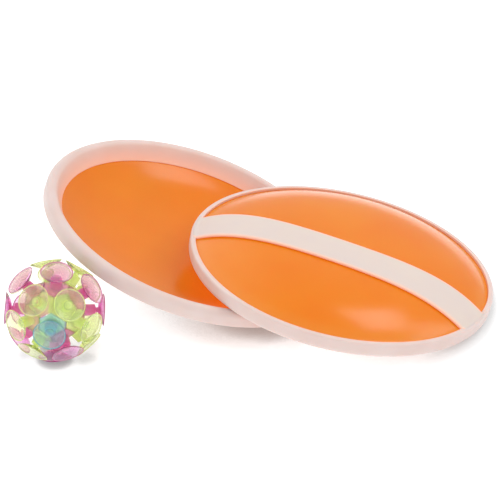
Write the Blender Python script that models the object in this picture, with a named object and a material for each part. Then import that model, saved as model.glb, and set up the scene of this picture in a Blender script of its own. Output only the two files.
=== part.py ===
"""Suction catch ball set: two round catch paddles and one ball of suction cups.

The paddles lie as they come to rest. One has its dish up and leans on its own dome and on
the low side of its rim. The other lies back up, with one side over the first one's rim and
the other on the ground. The ball lies on the ground beside the raised rim.
Sizes below are in millimetres and angles in degrees. Lengths become metres at the meshes.
"""
import math

import bmesh
import bpy
import numpy as np
from mathutils import Matrix, Vector

MM = 0.001
CLEARANCE = 0.3          # between two pieces that touch

# Paddle rim, one soft moulding
PADDLE_RADIUS = 95.0
RIM_HEIGHT = 9.8         # from the back lip to the front crest
RIM_FRONT_WIDTH = 12.2   # outer face to the foot of the front slope
RIM_LIP_WIDTH = 3.3      # back lip
RIM_LIP_HEIGHT = 1.7     # lip thickness under the dish edge
CREST_ROUND = 3.9
CREST_END_ANGLE = 146.0  # where the crest turns into the front slope, from straight outward
LIP_OUTER_ROUND = 1.5
LIP_INNER_ROUND = 0.8
RIM_FOOT_EDGE = 0.5      # thickness of the front slope's foot
GROOVE_DEPTH = 1.7       # how far the dish edge reaches in behind the lip

# Paddle dish, one hard sheet moulding
DISH_THICKNESS = 2.0
DISH_APEX_HEIGHT = 14.5  # dome apex behind the back lip's plane
DISH_FLANGE_WIDTH = 1.9  # flat edge held in the rim
DOME_ROUND_SHARE = 0.2   # share of the fall that is a plain parabola, the rest is a steeper shoulder

# Hand strap, one soft band across the back
STRAP_WIDTH = 27.2
STRAP_THICKNESS = 1.3
STRAP_OFFSET = 18.2      # its middle line lies this far from the paddle's centre
STRAP_END_WALL = 1.6     # rim left outside the strap's end

# Ball of suction cups
CUP_COUNT = 24
BALL_RADIUS = 30.8       # to the cups' lips
CUP_RADIUS = 9.3
CUP_DEPTH = 4.0
CUP_LIP = 0.45           # lip thickness
NECK_RADIUS = 1.6
NECK_LENGTH = 1.3
STEM_RADIUS = 3.4
STEM_LENGTH = 5.2
SHOULDER = 0.8           # from the stem's side to the neck
TILE_THICKNESS = 1.6
TILE_FLARE = 0.9         # from the tile's edge up to the stem
BALL_EDGE_GAP = 0.3      # between neighbouring tiles

# How the pieces lie
LEFT_TILT = 18.6
LEFT_FALL = -1.8         # plan direction in which the left paddle slopes down
LEFT_SPIN = -82.0        # its strap's direction, hidden below it
RIGHT_FALL = 9.9
RIGHT_SPIN = 149.9
RIGHT_FROM_LEFT = (94.6, -24.8)
RIGHT_TILT_RANGE = (5.0, 20.0)  # its tilt is found in here, where the two rims just meet
BALL_FROM_LEFT = -131.3  # plan direction of the ball from the left paddle's centre
BALL_VIEW_AZIMUTH = -6.0
BALL_VIEW_ELEVATION = 32.5

# Colours, linear from sRGB hex
ORANGE = "EE7A28"
RIM_WHITE = "F2E6E2"
STRAP_WHITE = "EADAD3"
CUP_COLOURS = {"lime": "CBDD83", "magenta": "B5157A", "teal": "0C93A6"}

# Mesh fineness
PADDLE_SEGMENT_COUNT = 48
CUP_SEGMENT_COUNT = 14
STRAP_STATION_COUNT = 20

# Cups seen from the front of the set: colour, then how far right of and above the ball's
# middle each points, as a share of the ball, and whether it faces away.
SEEN_CUPS = (
    ("magenta", -0.60, 0.67, False),
    ("magenta", -0.94, 0.16, False),
    ("magenta", 0.01, 0.75, False),
    ("magenta", 0.73, 0.54, False),
    ("magenta", 0.99, -0.04, False),
    ("lime", -0.46, 0.22, False),
    ("lime", 0.23, 0.12, False),
    ("lime", -0.83, -0.30, False),
    ("lime", -0.47, -0.80, False),
    ("teal", -0.11, -0.56, False),
    ("lime", 0.65, -0.53, False),
    ("magenta", -0.02, -0.90, True),
    ("magenta", -0.68, -0.60, True),
    ("lime", 0.04, 0.94, True),
    ("lime", 0.55, 0.70, True),
    ("lime", 0.45, -0.88, True),
)
HIDDEN_COLOURS = ("lime", "magenta", "lime", "lime")


# Helpers

def linear(channel):
    value = channel / 255.0
    if value <= 0.04045:
        return value / 12.92
    return ((value + 0.055) / 1.055) ** 2.4


def colour(hex_text):
    parts = [int(hex_text[i:i + 2], 16) for i in (0, 2, 4)]
    return tuple(linear(part) for part in parts) + (1.0,)


def material(name, hex_text, roughness):
    made = bpy.data.materials.new(name)
    made.use_nodes = True
    shader = made.node_tree.nodes["Principled BSDF"]
    shader.inputs["Base Color"].default_value = colour(hex_text)
    shader.inputs["Roughness"].default_value = roughness
    shader.inputs["Metallic"].default_value = 0.0
    return made


def arc(centre_r, centre_z, radius, start, end, count):
    """Points of an arc in the section plane, from start to end degrees."""
    angles = np.radians(np.linspace(start, end, count))
    return [(centre_r + radius * math.cos(a), centre_z + radius * math.sin(a)) for a in angles]


def object_from(bm, name, made_of, parent):
    """Closes a bmesh into a smooth-shaded object under its parent."""
    bmesh.ops.recalc_face_normals(bm, faces=bm.faces)
    mesh = bpy.data.meshes.new(name)
    bm.to_mesh(mesh)
    bm.free()
    mesh.shade_smooth()
    mesh.set_sharp_from_angle(angle=math.radians(38))
    mesh.materials.append(made_of)
    made = bpy.data.objects.new(name, mesh)
    made.parent = parent
    bpy.context.scene.collection.objects.link(made)
    return made


def turned(name, outline, made_of, parent):
    """Turns a closed section, given as radius and height, once around Z."""
    bm = bmesh.new()
    verts = [bm.verts.new((r * MM, 0.0, z * MM)) for r, z in outline]
    edges = [bm.edges.new((a, b)) for a, b in zip(verts, verts[1:])]
    if outline[0][0] > 0.0:
        edges.append(bm.edges.new((verts[-1], verts[0])))
    bmesh.ops.spin(
        bm, geom=verts + edges, cent=(0, 0, 0), axis=(0, 0, 1), angle=2 * math.pi,
        steps=PADDLE_SEGMENT_COUNT, use_merge=True, use_duplicate=False,
    )
    bmesh.ops.remove_doubles(bm, verts=bm.verts, dist=1e-6)
    return object_from(bm, name, made_of, parent)


def skinned(name, rings, made_of, parent, tips=None):
    """Skins equal rings of points in order.

    With tips, each end closes in a fan to its tip. Without, each end closes in a strip of
    quads between the first and the second half of its ring.
    """
    bm = bmesh.new()
    loops = [[bm.verts.new(Vector(p) * MM) for p in ring] for ring in rings]
    for low, high in zip(loops, loops[1:]):
        for i in range(len(low)):
            j = (i + 1) % len(low)
            bm.faces.new((low[i], low[j], high[j], high[i]))
    for end, loop in enumerate((loops[0], loops[-1])):
        if tips:
            poked = bmesh.ops.poke(bm, faces=[bm.faces.new(loop)])
            poked["verts"][0].co = Vector(tips[end]) * MM
            continue
        for i in range(len(loop) // 2 - 1):
            bm.faces.new((loop[i], loop[i + 1], loop[-2 - i], loop[-1 - i]))
    return object_from(bm, name, made_of, parent)


def frame(name, across, along, up):
    """An empty whose axes point along three world directions."""
    empty = bpy.data.objects.new(name, None)
    bpy.context.scene.collection.objects.link(empty)
    empty.matrix_world = Matrix((across, along, up)).transposed().to_4x4()
    return empty


def paddle_axes(tilt, fall):
    """Downhill, level and upward axes of a plane that slopes down towards fall."""
    t = math.radians(tilt)
    a = math.radians(fall)
    down = Vector((math.cos(t) * math.cos(a), math.cos(t) * math.sin(a), -math.sin(t)))
    up = Vector((math.sin(t) * math.cos(a), math.sin(t) * math.sin(a), math.cos(t)))
    return down, up.cross(down), up


# Paddle sections: radius, and height from the back lip's plane towards the catching side

def dish_edge():
    return PADDLE_RADIUS - RIM_LIP_WIDTH + GROOVE_DEPTH - CLEARANCE


def dome_radius():
    return dish_edge() - DISH_FLANGE_WIDTH


def dish_edge_height():
    return RIM_LIP_HEIGHT + CLEARANCE


def dome_back(r):
    """Height of the dish's back face, negative where it stands out behind the lip."""
    share = min(r / dome_radius(), 1.0)
    fall = DOME_ROUND_SHARE * share ** 2 + (1.0 - DOME_ROUND_SHARE) * share ** 4
    return dish_edge_height() - (DISH_APEX_HEIGHT + dish_edge_height()) * (1.0 - fall)


def dome_slope(r):
    step = 0.01
    return (dome_back(r) - dome_back(r - step)) / step


def dome_front(r):
    """Point of the catching face straight across the sheet from the back face at r."""
    slope = dome_slope(r) if r > 0 else 0.0
    lean = math.hypot(1.0, slope)
    return r - DISH_THICKNESS * slope / lean, dome_back(r) + DISH_THICKNESS / lean


def dish_front_line():
    """Points of the catching face, from the middle out to where the flat flange starts."""
    shares = (0.0, 0.2, 0.38, 0.54, 0.68, 0.8, 0.9, 0.97)
    points = [dome_front(dome_radius() * share) for share in shares]
    flange_turn = dome_radius() - 0.45 * DISH_THICKNESS
    return points + [(flange_turn, dish_edge_height() + DISH_THICKNESS)]


def dish_back_line():
    shares = (0.0, 0.2, 0.38, 0.54, 0.68, 0.8, 0.9, 0.97, 1.0)
    return [(dome_radius() * share, dome_back(dome_radius() * share)) for share in shares]


def dish_section():
    edge = dish_edge()
    height = dish_edge_height()
    return dish_back_line() + [(edge, height), (edge, height + DISH_THICKNESS)] + dish_front_line()[::-1]


def rim_foot_line():
    """Underside of the rim's front slope: the dish's face a clearance below it."""
    front = dish_front_line()
    foot = PADDLE_RADIUS - RIM_FRONT_WIDTH
    lift = CLEARANCE * math.hypot(1.0, dome_slope(dome_radius()))
    first = float(np.interp(foot, [p[0] for p in front], [p[1] for p in front])) + lift
    return [(foot, first)] + [(r, z + lift) for r, z in front if r > foot + 0.2]


def rim_section():
    outer = PADDLE_RADIUS
    lip = outer - RIM_LIP_WIDTH
    groove = lip + GROOVE_DEPTH
    crest_r = outer - CREST_ROUND
    crest_z = RIM_HEIGHT - CREST_ROUND
    under = rim_foot_line()
    tip_r, tip_z = under[0]
    outline = [(lip, RIM_LIP_HEIGHT)]
    outline += arc(lip + LIP_INNER_ROUND, LIP_INNER_ROUND, LIP_INNER_ROUND, 180, 270, 3)
    outline += arc(outer - LIP_OUTER_ROUND, LIP_OUTER_ROUND, LIP_OUTER_ROUND, 270, 360, 3)
    outline += arc(crest_r, crest_z, CREST_ROUND, 0, CREST_END_ANGLE, 6)
    outline += [(tip_r, tip_z + RIM_FOOT_EDGE)] + under
    return outline + [(groove, under[-1][1]), (groove, RIM_LIP_HEIGHT)]


# Paddle pieces

def strap_half_length(side, end_radius):
    return math.sqrt(end_radius ** 2 - side ** 2)


def strap_end_radius():
    return PADDLE_RADIUS - STRAP_END_WALL


def strap_station(share, width, end_radius, heights):
    """One ring across the band: along its upper face and back along its lower one."""
    sides = [-STRAP_OFFSET + width * (k / 4 - 0.5) for k in range(5)]
    ring = []
    for level, order in ((0, sides), (1, sides[::-1])):
        for side in order:
            along = share * strap_half_length(side, end_radius)
            ring.append((along, side, heights(along, side)[level]))
    return ring


def band_heights(along, side):
    """Upper and lower face of the strap: it follows the dome, then lies flush in the lip."""
    under = dome_back(math.hypot(along, side)) - dish_edge_height()
    return under, under + STRAP_THICKNESS


def notch_heights(along, side):
    """From below the dome up to the dish edge's bed, and never past the middle of the sheet."""
    sheet = dome_back(math.hypot(along, side)) + 0.5 * DISH_THICKNESS
    return -2 * DISH_APEX_HEIGHT, min(RIM_LIP_HEIGHT + 0.5 * CLEARANCE, sheet)


def eased(count):
    """Stations along the strap, closer together towards both ends."""
    return [math.sin(math.radians(90 * (2 * i / count - 1))) for i in range(count + 1)]


def hand_strap(name, made_of, parent):
    shares = eased(STRAP_STATION_COUNT)
    rings = [strap_station(s, STRAP_WIDTH, strap_end_radius(), band_heights) for s in shares]
    return skinned(name, rings, made_of, parent)


def strap_notch(name, made_of, parent):
    """What the strap's ends take out of the rim's lip, a clearance wider all round."""
    width = STRAP_WIDTH + 2 * CLEARANCE
    reach = strap_end_radius() + CLEARANCE
    rings = [strap_station(s, width, reach, notch_heights) for s in eased(STRAP_STATION_COUNT)]
    cutter = skinned(name, rings, made_of, parent)
    cutter.hide_render = True
    cutter.display_type = "WIRE"
    return cutter


def paddle(side, empty, spin, finishes):
    """Rim, dish and strap of one paddle, in the frame of its empty."""
    turn = Matrix.Rotation(math.radians(spin), 4, "Z")
    dish = turned(side + "_dish", dish_section(), finishes["orange"], empty)
    rim = turned(side + "_rim", rim_section(), finishes["rim"], empty)
    strap = hand_strap(side + "_hand_strap", finishes["strap"], empty)
    notch = strap_notch(side + "_strap_notch", finishes["rim"], empty)
    for piece in (dish, rim, strap, notch):
        piece.matrix_local = turn
    cut = rim.modifiers.new("strap_notch", "BOOLEAN")
    cut.operation = "DIFFERENCE"
    cut.solver = "EXACT"
    cut.object = notch
    return [dish, rim, strap]


# Ball of suction cups

def unit(vectors):
    vectors = np.asarray(vectors, dtype=float)
    return vectors / np.linalg.norm(vectors, axis=-1, keepdims=True)


def seen_directions():
    """Seen cups as unit vectors: right, up, towards the front of the set."""
    rows = []
    for _, right, up, away in SEEN_CUPS:
        depth = math.sqrt(max(1.0 - right ** 2 - up ** 2, 0.0))
        rows.append((right, up, -depth if away else depth))
    return unit(rows)


def spiral_directions(count):
    steps = np.arange(count) + 0.5
    heights = 1.0 - 2.0 * steps / count
    turns = steps * math.pi * (1.0 + math.sqrt(5.0))
    flat = np.sqrt(1.0 - heights ** 2)
    return np.stack([flat * np.cos(turns), flat * np.sin(turns), heights], axis=1)


def cup_directions():
    """Spaces the cups evenly: the seen ones stay near their place, the rest fill the back."""
    places = seen_directions()
    anchors = places.copy()
    spots = spiral_directions(900)
    while len(places) < CUP_COUNT:
        lonely = np.argmin((spots @ places.T).max(axis=1))
        places = np.vstack([places, spots[lonely]])
    for _ in range(400):
        apart = places[:, None] - places[None]
        reach = np.linalg.norm(apart, axis=2) + np.eye(len(places))
        push = (apart / reach[..., None] ** 7).sum(axis=1) * 0.004
        push[:len(anchors)] += 0.04 * (anchors - places[:len(anchors)])
        places = unit(places + np.clip(push, -0.05, 0.05))
    return places


def cup_colours():
    names = [row[0] for row in SEEN_CUPS]
    while len(names) < CUP_COUNT:
        names.append(HIDDEN_COLOURS[len(names) % len(HIDDEN_COLOURS)])
    return names


def clipped(polygon, normal, limit):
    """The part of a polygon where the point times normal stays below limit."""
    kept = []
    for start, end in zip(polygon, polygon[1:] + polygon[:1]):
        a = start @ normal - limit
        b = end @ normal - limit
        if a <= 0:
            kept.append(start)
        if a * b < 0:
            kept.append(start + (end - start) * (a / (a - b)))
    return kept


def tile_polygon(axes, direction, others, distance):
    """Corners of a cup's tile: the cell nearer to it than to any other cup."""
    polygon = [np.array(corner) * BALL_RADIUS for corner in ((-1, -1), (1, -1), (1, 1), (-1, 1))]
    for other in others:
        normal = unit(other - direction)
        flat = axes @ normal
        polygon = clipped(polygon, flat[:2], -0.5 * BALL_EDGE_GAP - flat[2] * distance)
    return polygon


def evenly_filled(polygon, count):
    """The polygon's corners with points added on its longest sides, up to count."""
    corners = [p for p, q in zip(polygon, polygon[1:] + polygon[:1]) if np.linalg.norm(q - p) > 0.6]
    extra = [0] * len(corners)
    spans = [np.linalg.norm(q - p) for p, q in zip(corners, corners[1:] + corners[:1])]
    while len(corners) + sum(extra) < count:
        shares = [span / (more + 1) for span, more in zip(spans, extra)]
        extra[int(np.argmax(shares))] += 1
    filled = []
    for p, q, more in zip(corners, corners[1:] + corners[:1], extra):
        filled += [p + (q - p) * step / (more + 1) for step in range(more + 1)]
    return filled


def cup_rings(axes, direction, others):
    """Rings of one cup from the tile's inner face out to its lip and down inside the cup."""
    lip = math.sqrt(BALL_RADIUS ** 2 - CUP_RADIUS ** 2)
    neck_top = lip - CUP_DEPTH
    neck_foot = neck_top - NECK_LENGTH
    stem_top = neck_foot - SHOULDER
    stem_foot = stem_top - STEM_LENGTH
    tile_top = stem_foot - TILE_FLARE
    tile_foot = tile_top - TILE_THICKNESS
    outer = evenly_filled(tile_polygon(axes, direction, others, tile_top), CUP_SEGMENT_COUNT)
    inner = [p * tile_foot / tile_top for p in outer]
    angles = [math.atan2(p[1], p[0]) for p in outer]
    rings = [[(p[0], p[1], tile_foot) for p in inner]]
    rings.append([(p[0], p[1], tile_top) for p in outer])
    rounds = (
        (STEM_RADIUS, stem_foot), (STEM_RADIUS, stem_top), (NECK_RADIUS, neck_foot),
        (NECK_RADIUS, neck_top), (CUP_RADIUS * 0.62, neck_top + 0.42 * CUP_DEPTH),
        (CUP_RADIUS, lip - CUP_LIP), (CUP_RADIUS, lip),
        (CUP_RADIUS * 0.55, neck_top + 0.42 * CUP_DEPTH + 0.9),
    )
    for radius, height in rounds:
        rings.append([(radius * math.cos(a), radius * math.sin(a), height) for a in angles])
    return rings, (0.0, 0.0, tile_foot), (0.0, 0.0, neck_top + 0.9)


def suction_ball(empty, finishes):
    directions = cup_directions()
    tally = {}
    cups = []
    for i, (direction, tint) in enumerate(zip(directions, cup_colours())):
        tally[tint] = tally.get(tint, 0) + 1
        side = unit(np.cross(direction, (0.2, 0.9, 0.4)))
        axes = np.array([side, np.cross(direction, side), direction])
        others = np.delete(directions, i, axis=0)
        rings, foot, hollow = cup_rings(axes, direction, others)
        name = "cup_{}_{:02d}".format(tint, tally[tint])
        cup = skinned(name, rings, finishes[tint], empty, (foot, hollow))
        cup.matrix_local = Matrix(axes.tolist()).transposed().to_4x4()
        cups.append(cup)
    return cups


# How the set lies

def section_distance(points, section):
    """Distance of points from a closed section, negative inside it."""
    start = np.array(section)
    end = np.roll(start, -1, axis=0)
    side = end - start
    along = ((points[:, None] - start) * side).sum(axis=2) / (side ** 2).sum(axis=1)
    near = start + np.clip(along, 0.0, 1.0)[..., None] * side
    distance = np.linalg.norm(points[:, None] - near, axis=2).min(axis=1)
    above = (start[:, 1] > points[:, 1:2]) != (end[:, 1] > points[:, 1:2])
    rise = np.where(side[:, 1] == 0.0, 1e-9, side[:, 1])
    cross = start[:, 0] + (points[:, 1:2] - start[:, 1]) * side[:, 0] / rise
    inside = (above & (points[:, :1] < cross)).sum(axis=1) % 2 == 1
    return np.where(inside, -distance, distance)


def in_paddle(points, axes, centre):
    """World points as radius and height in a paddle's own frame."""
    local = (points - centre) @ np.array([list(axis) for axis in axes]).T
    return np.stack([np.hypot(local[:, 0], local[:, 1]), local[:, 2]], axis=1)


def rim_points(axes, facing):
    """Points all over a rim whose centre is at the origin, its catching side along facing."""
    section = np.array(rim_section())
    middle = (section + np.roll(section, -1, axis=0)) / 2
    section = np.vstack([section, middle])
    angles = np.radians(np.arange(0.0, 360.0, 1.5))
    down, level, up = (np.array(axis) for axis in axes)
    around = np.cos(angles)[:, None] * down + np.sin(angles)[:, None] * level
    points = section[:, None, 0:1] * around + facing * section[:, None, 1:2] * up
    return points.reshape(-1, 3)


def rim_gap(tilt, left_axes, left_centre, plan):
    """Gap between the rims when the upper paddle has this tilt and meets the ground."""
    points = rim_points(paddle_axes(tilt, RIGHT_FALL), -1.0)
    centre = np.array([plan[0], plan[1], -points[:, 2].min()])
    flat = in_paddle(points + centre, left_axes, left_centre)
    margin = 2 * RIM_HEIGHT
    close = (flat[:, 0] > PADDLE_RADIUS - margin) & (np.abs(flat[:, 1]) < margin)
    if not close.any():
        return margin, centre
    return section_distance(flat[close], rim_section()).min(), centre


def solved(low, high, too_low):
    """Halves a range down to the value where too_low stops being true."""
    for _ in range(18):
        middle = (low + high) / 2
        if too_low(middle):
            low = middle
        else:
            high = middle
    return high


def lowest(pieces):
    bpy.context.view_layer.update()
    heights = [(piece.matrix_world @ v.co).z for piece in pieces for v in piece.data.vertices]
    return min(heights)


def bounds(pieces):
    bpy.context.view_layer.update()
    points = np.array([tuple(piece.matrix_world @ v.co) for piece in pieces for v in piece.data.vertices])
    return points.min(axis=0), points.max(axis=0)


def build():
    for old in list(bpy.data.objects):
        bpy.data.objects.remove(old, do_unlink=True)
    finishes = {
        "orange": material("glossy_orange_plastic", ORANGE, 0.18),
        "rim": material("soft_white_rim", RIM_WHITE, 0.42),
        "strap": material("soft_white_strap", STRAP_WHITE, 0.5),
    }
    for tint, hex_text in CUP_COLOURS.items():
        finishes[tint] = material("clear_{}_vinyl".format(tint), hex_text, 0.15)

    left_axes = paddle_axes(LEFT_TILT, LEFT_FALL)
    left = frame("left_paddle_frame", *left_axes)
    left_pieces = paddle("left", left, LEFT_SPIN, finishes)
    left.location.z -= lowest(left_pieces)
    left_centre = np.array(left.location) / MM

    def rims_meet(tilt):
        return rim_gap(tilt, left_axes, left_centre, RIGHT_FROM_LEFT)[0] < CLEARANCE

    right_tilt = solved(*RIGHT_TILT_RANGE, rims_meet)
    _, right_centre = rim_gap(right_tilt, left_axes, left_centre, RIGHT_FROM_LEFT)
    down, level, up = paddle_axes(right_tilt, RIGHT_FALL)
    right = frame("right_paddle_frame", down, -level, -up)
    right.location = Vector(right_centre) * MM
    right_pieces = paddle("right", right, -RIGHT_SPIN, finishes)

    view = Matrix.Rotation(math.radians(-BALL_VIEW_AZIMUTH), 3, "Z")
    e = math.radians(BALL_VIEW_ELEVATION)
    across = view @ Vector((1.0, 0.0, 0.0))
    upward = view @ Vector((0.0, math.sin(e), math.cos(e)))
    ball = frame("ball_frame", across, upward, across.cross(upward))
    cups = suction_ball(ball, finishes)
    ball.location.z -= lowest(cups)
    way = math.radians(BALL_FROM_LEFT)
    section = rim_section()

    def ball_place(reach):
        return np.array([reach * math.cos(way), reach * math.sin(way), ball.location.z / MM])

    def ball_meets_rim(reach):
        flat = in_paddle(ball_place(reach)[None], left_axes, left_centre)
        return section_distance(flat, section)[0] < BALL_RADIUS + CLEARANCE

    reach = solved(0.9 * PADDLE_RADIUS, PADDLE_RADIUS + 2 * BALL_RADIUS, ball_meets_rim)
    ball.location = Vector(ball_place(reach)) * MM

    pieces = left_pieces + right_pieces + cups
    low, high = bounds(pieces)
    for empty in (left, right, ball):
        empty.location -= Vector(((low[0] + high[0]) / 2, (low[1] + high[1]) / 2, low[2]))


build()
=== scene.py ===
"""Suction catch ball set, dressed: two catch paddles lying one on the other, and a suction cup ball.

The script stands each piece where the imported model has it, in the same frame and in metres.
Sizes and colours are properties of the scene, each group of like pieces has its own operator,
and the rims, dishes and suction cups grow from node trees.
"""
import math

import bmesh
import bpy
import numpy as np
from bpy.props import FloatProperty, FloatVectorProperty, IntProperty, PointerProperty
from bpy.types import Operator, Panel, PropertyGroup
from mathutils import Matrix, Vector


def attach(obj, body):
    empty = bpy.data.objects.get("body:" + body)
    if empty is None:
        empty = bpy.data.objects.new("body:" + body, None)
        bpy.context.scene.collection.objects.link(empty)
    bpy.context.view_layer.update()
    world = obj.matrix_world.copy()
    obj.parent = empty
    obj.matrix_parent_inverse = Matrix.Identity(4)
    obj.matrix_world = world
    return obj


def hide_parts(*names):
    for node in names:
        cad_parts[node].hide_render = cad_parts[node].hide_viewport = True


bl_info = {
    "name": "Suction Catch Ball Set",
    "version": (1, 0, 0),
    "blender": (4, 5, 0),
    "location": "3D View > Sidebar > Catch Set",
    "description": "Dresses the packed catch ball set with finely moulded pieces and their plastics",
    "category": "Object",
}

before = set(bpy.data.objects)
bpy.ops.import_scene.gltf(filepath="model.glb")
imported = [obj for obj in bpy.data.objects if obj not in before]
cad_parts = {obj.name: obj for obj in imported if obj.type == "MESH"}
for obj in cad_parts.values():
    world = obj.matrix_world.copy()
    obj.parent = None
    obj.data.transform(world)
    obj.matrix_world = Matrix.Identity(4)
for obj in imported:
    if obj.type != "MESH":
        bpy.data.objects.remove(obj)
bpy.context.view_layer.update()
MM = 0.001
SEAM = 0.002 * MM  # points nearer than this are one

# How each paddle lies: the middle of its back lip's plane, how far it tilts, the plan
# direction it slopes down in, the turn of its strap, and 1 where it lies dish up.
PADDLES = {
    "left": {"centre": (-40.146, 12.457, 29.887), "tilt": 18.6, "fall": -1.8, "spin": -82.0, "facing": 1},
    "right": {"centre": (54.455, -12.343, 26.361), "tilt": 10.563, "fall": 9.9, "spin": -149.9, "facing": -1},
}

# The ball's middle, and the directions its cups are listed in: right, up, towards the front.
BALL_CENTRE = (-117.529, -75.627, 30.686)
BALL_VIEW_AZIMUTH = -6.0
BALL_VIEW_ELEVATION = 32.5
CUPS = {
    "cup_magenta_01": (-0.6575, 0.6516, 0.3782),
    "cup_magenta_02": (-0.9947, 0.1004, -0.0210),
    "cup_magenta_03": (0.0804, 0.7562, 0.6494),
    "cup_magenta_04": (0.7754, 0.3915, 0.4955),
    "cup_magenta_05": (0.9978, -0.0498, -0.0428),
    "cup_lime_01": (-0.4132, 0.2191, 0.8839),
    "cup_lime_02": (0.3015, 0.0862, 0.9496),
    "cup_lime_03": (-0.8065, -0.2635, 0.5294),
    "cup_lime_04": (-0.4974, -0.8285, 0.2573),
    "cup_teal_01": (-0.1360, -0.4932, 0.8592),
    "cup_lime_05": (0.7132, -0.4109, 0.5679),
    "cup_magenta_06": (-0.0411, -0.9439, -0.3277),
    "cup_magenta_07": (-0.7466, -0.5495, -0.3749),
    "cup_lime_06": (-0.1269, 0.9913, -0.0352),
    "cup_lime_07": (0.7010, 0.4487, -0.5543),
    "cup_lime_08": (0.6453, -0.7480, -0.1552),
    "cup_lime_09": (0.1261, 0.1407, -0.9820),
    "cup_magenta_08": (-0.6121, 0.0580, -0.7886),
    "cup_lime_10": (0.6356, -0.3073, -0.7082),
    "cup_lime_11": (-0.6655, 0.6394, -0.3850),
    "cup_lime_12": (0.0157, 0.7418, -0.6704),
    "cup_magenta_09": (0.2115, -0.8967, 0.3888),
    "cup_lime_13": (0.5545, 0.8321, 0.0071),
    "cup_lime_14": (-0.1165, -0.5098, -0.8523),
}
CUP_ASIDE = (0.2, 0.9, 0.4)  # a direction that no cup points in, to turn each cup's own frame by

# How deep a cup's tint shows, from 0 in its thin skirt to 1 on the lip's edge, seen end on
FOOT_DEPTH = 0.05
STEM_DEPTH = 0.5
WEB_DEPTH = 0.6
NECK_DEPTH = 0.75

# What sets each clear plastic apart: how much of the tint is left on the lip's edge, the colour
# that light keeps on its way through, how fast it loses the rest, and the strength of the painted glow in its thick
# neck.
CUP_PLASTICS = {
    "lime": {"edge_share": 0.6, "kept": (0.9, 0.96, 0.4), "density": 260.0, "glow": 0.2},
    "magenta": {"edge_share": 0.3, "kept": (0.95, 0.02, 0.78), "density": 430.0, "glow": 0.28},
    "teal": {"edge_share": 0.45, "kept": (0.1, 0.85, 0.9), "density": 260.0, "glow": 0.15},
}

# Studio, in metres: the place and width of each softbox, all turned to the set, the way to the
# lit cloth and the edge of its glow as a cosine, and the rings and spokes of the floor.
SOFTBOXES = {"key": ((1.5, 0.35, 1.1), 0.7), "top": ((0.85, 0.5, 1.5), 0.55), "fill": ((-0.5, -1.9, 0.9), 1.6)}
CLOTH_WAY = (-0.6, 0.55, 0.58)
CLOTH_EDGE = 0.68
CAMERA_AIM = (-0.00256, 0.0439, 0.0)
FLOOR_RINGS = (0.3, 0.8, 1.6, 3.0)
FLOOR_SPOKES = 96


# Properties

def linear(hex_text):
    """Linear colour of an sRGB hex value."""
    channels = [int(hex_text[i:i + 2], 16) / 255.0 for i in (0, 2, 4)]
    return [c / 12.92 if c <= 0.04045 else ((c + 0.055) / 1.055) ** 2.4 for c in channels]


def length(name, description, default_mm):
    return FloatProperty(name=name, description=description, default=default_mm * MM,
                         min=0.0, precision=5, subtype="DISTANCE", unit="LENGTH")


def tint(name, description, hex_text):
    return FloatVectorProperty(name=name, description=description, default=linear(hex_text),
                               min=0.0, max=1.0, size=3, subtype="COLOR")


def angle(name, description, degrees):
    return FloatProperty(name=name, description=description, default=math.radians(degrees),
                         subtype="ANGLE", unit="ROTATION")


def power(name, description, watts):
    return FloatProperty(name=name, description=description, default=watts, min=0.0, subtype="POWER", unit="POWER")


def strength(name, description, default):
    return FloatProperty(name=name, description=description, default=default, min=0.0)


class PaddleSizes(PropertyGroup):
    """Sizes of one catch paddle."""
    radius: length("Paddle radius", "Outer face of the rim", 94.9)
    rim_height: length("Rim height", "From the back lip to the front crest", 9.8)
    rim_width: length("Rim width", "Outer face to the foot of the front slope", 12.2)
    lip_width: length("Lip width", "Back lip, seen from behind", 3.3)
    lip_height: length("Lip height", "Lip thickness under the dish edge", 1.7)
    crest_round: length("Crest rounding", "Radius of the front crest", 3.9)
    crest_end: angle("Crest end", "Where the crest turns into the front slope", 144.0)
    lip_round: length("Lip rounding", "Radius of the lip's outer edge", 1.5)
    lip_inner_round: length("Lip inner rounding", "Radius of the lip's inner edge", 0.4)
    foot_edge: length("Slope foot", "Thickness of the front slope's foot", 0.5)
    groove: length("Groove depth", "How far the dish edge reaches in behind the lip", 1.7)
    fit: length("Fit", "Clearance between rim and dish", 0.3)
    sheet: length("Dish thickness", "Thickness of the dish's sheet", 2.0)
    apex: length("Dome height", "Dome apex behind the back lip's plane", 14.5)
    flange: length("Flange width", "Flat edge of the dish", 1.6)
    dome_share: FloatProperty(name="Dome roundness", default=0.2, min=0.0, max=1.0, subtype="FACTOR",
                              description="Share of the dome's fall that is plain, the rest is a steep shoulder")
    strap_width: length("Strap width", "Width of the hand strap", 27.2)
    strap_thickness: length("Strap thickness", "Thickness of the hand strap", 1.75)
    strap_offset: length("Strap offset", "Its middle line from the paddle's centre", 18.2)
    strap_end_wall: length("Strap end wall", "Rim left outside the strap's end", 1.6)
    strap_edge: length("Strap edge rounding", "Radius along both edges of the strap", 0.8)
    around: IntProperty(name="Steps around", description="Faces around the rim and dish", default=168, min=24)


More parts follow.
